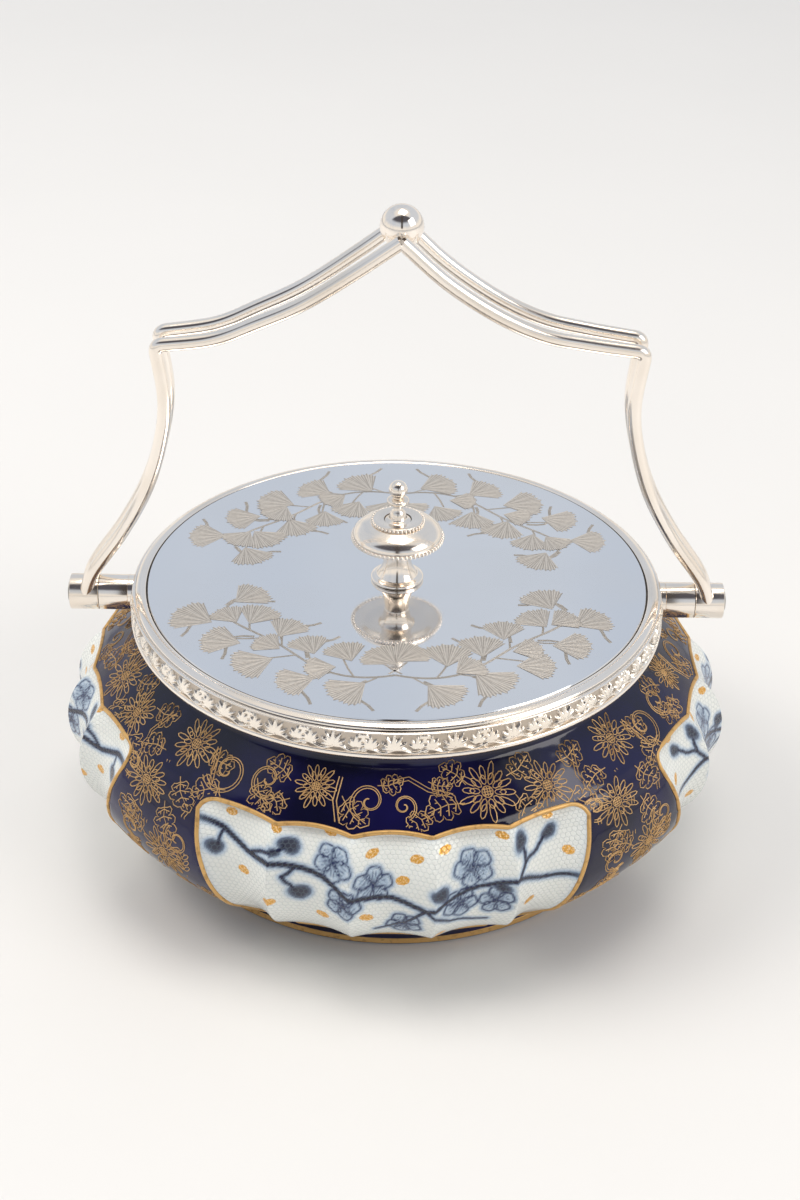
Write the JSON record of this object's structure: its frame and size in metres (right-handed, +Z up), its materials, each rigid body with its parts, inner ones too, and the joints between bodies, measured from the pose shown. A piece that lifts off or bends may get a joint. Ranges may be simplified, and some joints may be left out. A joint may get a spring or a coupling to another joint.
{
  "type": "biscuit jar",
  "caption": "Squat glazed ceramic biscuit jar with fluted panels, silver-plated collar, flat engraved lift-off lid with finial, and a hinged double-wire carrying bail.",
  "frame": {"origin": "centre of the foot ring on the surface the jar stands on", "axes": "+Z up through the finial, +X along the bail pivots, -Y toward the front of the picture"},
  "size_m": [0.1764, 0.1764, 0.1735],
  "materials": {
    "cobalt_glaze": "gloss",
    "plaster": "matt",
    "silver_plate": "polished",
    "mirror_silver": "mirror with frosted engraving",
    "embossed_silver": "embossed, lightly tarnished in the hollows",
    "pin_metal": "dull",
    "brass_fixings": "dull"
  },
  "bodies": {
    "pot": {"pot_body": "cobalt_glaze", "plaster_bed": "plaster", "collar_shell": "silver_plate", "collar_border": "embossed_silver", "collar_lip": "silver_plate", "collar_moulding": "silver_plate", "lug_plate_left": "silver_plate", "lug_plate_right": "silver_plate", "lug_barrel_left": "silver_plate", "lug_barrel_right": "silver_plate", "pivot_pin_left": "pin_metal", "pivot_pin_right": "pin_metal"},
    "bail": {"bail_barrel_left": "silver_plate", "bail_barrel_right": "silver_plate", "bail_wire_front_left": "silver_plate", "bail_wire_front_right": "silver_plate", "bail_wire_rear_left": "silver_plate", "bail_wire_rear_right": "silver_plate", "bail_ball": "silver_plate"},
    "lid": {"lid_disc": "mirror_silver", "lid_flange": "silver_plate", "finial_foot": "silver_plate", "finial_stem": "silver_plate", "finial_cap": "silver_plate", "finial_bead_ring": "silver_plate", "finial_spindle": "silver_plate", "finial_knob": "silver_plate", "finial_stud": "brass_fixings", "finial_washer": "brass_fixings", "finial_nut": "brass_fixings"}
  },
  "joints": [
    {"name": "bail_swing", "type": "hinge", "parent": "pot", "child": "bail", "pos_m": [0, 0, 0.0648], "axis": [1, 0, 0], "range_deg": [-95, 95]},
    {"name": "lid_lift", "type": "slide", "parent": "pot", "child": "lid", "axis": [0, 0, 1], "range_m": [0, 0.012]}
  ]
}
